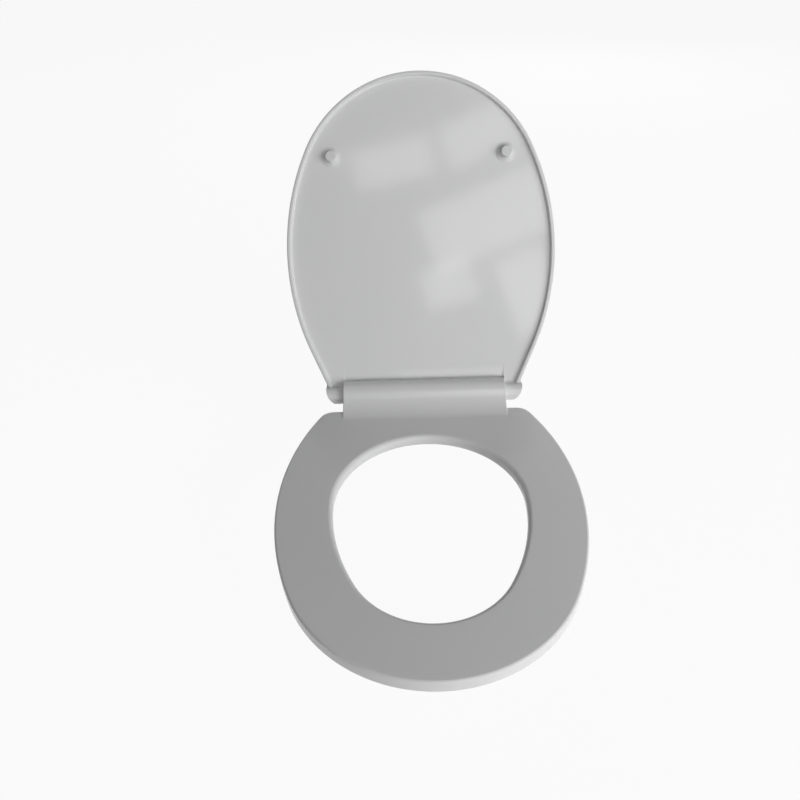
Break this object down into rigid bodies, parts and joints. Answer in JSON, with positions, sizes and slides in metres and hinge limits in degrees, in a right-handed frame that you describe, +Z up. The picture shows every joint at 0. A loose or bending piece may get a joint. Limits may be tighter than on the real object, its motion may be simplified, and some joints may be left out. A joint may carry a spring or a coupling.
{
  "type": "toilet seat",
  "caption": "Oval toilet seat with a raised lid on a soft-close barrel hinge, with rubber buffers and stud fixings that pass through the china.",
  "frame": {"origin": "midway between the two fixing studs, on the china that the base gaskets stand on", "axes": "+Z up, out of the china; +X along the line of the studs; -Y towards the front of the seat, so +Y points to the cistern"},
  "size_m": [0.375, 0.6823, 0.4673],
  "materials": {
    "china_white": "gloss",
    "buffer_white": "satin",
    "bushing": "satin",
    "damper": "matte",
    "chrome": "polished",
    "steel": "brushed",
    "rubber": "matte",
    "nut": "satin"
  },
  "bodies": {
    "root": {"hinge_post_left": "chrome", "hinge_post_right": "chrome", "damper_body_left": "damper", "damper_body_right": "damper", "base_cover_left": "chrome", "base_cover_right": "chrome", "base_gasket_left": "rubber", "base_gasket_right": "rubber", "fixing_stud_left": "steel", "fixing_stud_right": "steel", "cone_washer_left": "rubber", "cone_washer_right": "rubber", "flat_washer_left": "steel", "flat_washer_right": "steel", "wing_nut_left": "nut", "wing_nut_right": "nut"},
    "seat": {"seat_ring": "china_white", "seat_buffer_front_left": "buffer_white", "seat_buffer_front_right": "buffer_white", "seat_buffer_rear_left": "buffer_white", "seat_buffer_rear_right": "buffer_white", "seat_bush_left": "bushing", "seat_insert_right": "steel", "damper_shaft_right": "steel"},
    "lid": {"lid": "china_white", "lid_buffer_left": "buffer_white", "lid_buffer_right": "buffer_white", "lid_insert_left": "steel", "lid_bush_right": "bushing", "damper_shaft_left": "steel"}
  },
  "joints": [
    {"name": "seat_hinge", "type": "hinge", "parent": "root", "child": "seat", "pos_m": [0, 0.009, 0.0305], "axis": [-1, 0, 0], "range_deg": [0, 100]},
    {"name": "lid_hinge", "type": "hinge", "parent": "seat", "child": "lid", "pos_m": [0, 0.009, 0.0305], "axis": [-1, 0, 0], "range_deg": [-122, 0]}
  ]
}
